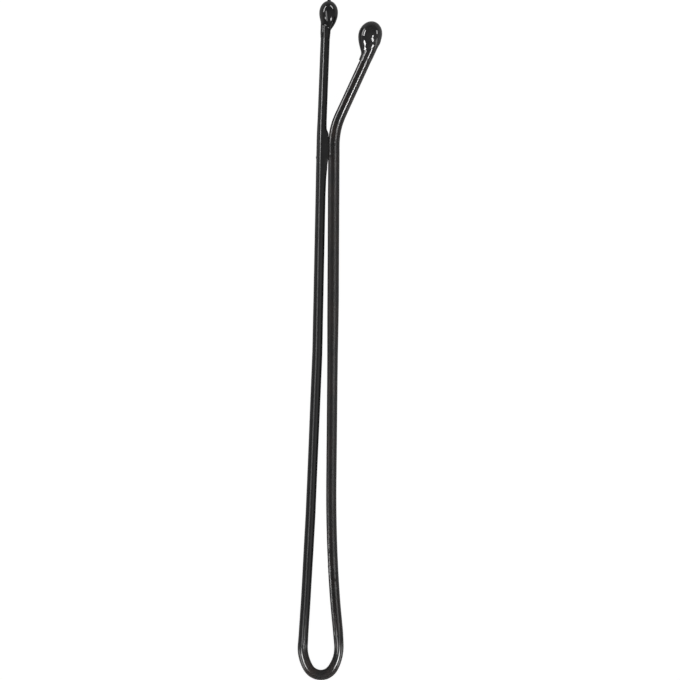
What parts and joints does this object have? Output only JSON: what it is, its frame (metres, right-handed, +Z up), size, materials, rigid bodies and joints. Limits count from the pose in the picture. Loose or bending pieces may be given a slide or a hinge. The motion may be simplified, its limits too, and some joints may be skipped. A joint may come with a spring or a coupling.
{
  "type": "bobby pin",
  "caption": "Smooth bobby pin: spring wire bent into a narrow loop, a straight leg and a flared leg that close at a nip, black enamel, and a resin drop on each tip.",
  "frame": {"origin": "centre of the bounding box's bottom face, on the surface that the pin lies on", "axes": "+Y from the loop to the tips, +X across the pin towards the flare, +Z up from the surface"},
  "size_m": [0.0086, 0.07, 0.0024],
  "materials": {
    "spring_steel": "drawn and tempered wire, dull grey, hidden under the enamel",
    "black_enamel": "glossy black baked enamel, a little uneven along the wire",
    "tip_resin": "high gloss black resin drop"
  },
  "bodies": {
    "straight_leg": {"straight_leg_wire": "spring_steel", "straight_leg_enamel": "black_enamel", "straight_leg_tip": "tip_resin", "spring_bend_wire": "spring_steel", "spring_bend_enamel": "black_enamel"},
    "flared_leg": {"flared_leg_wire": "spring_steel", "flared_leg_enamel": "black_enamel", "flared_leg_tip": "tip_resin"}
  },
  "joints": [
    {"name": "spring_open", "type": "hinge", "parent": "straight_leg", "child": "flared_leg", "pos_m": [-0.00198, -0.03306, 0.00061], "axis": [0.0612, 0.0046, -0.9981], "range_deg": [0, 12], "stiffness_Nm_per_rad": 0.11, "deforming": ["spring_bend_wire", "spring_bend_enamel"]}
  ]
}
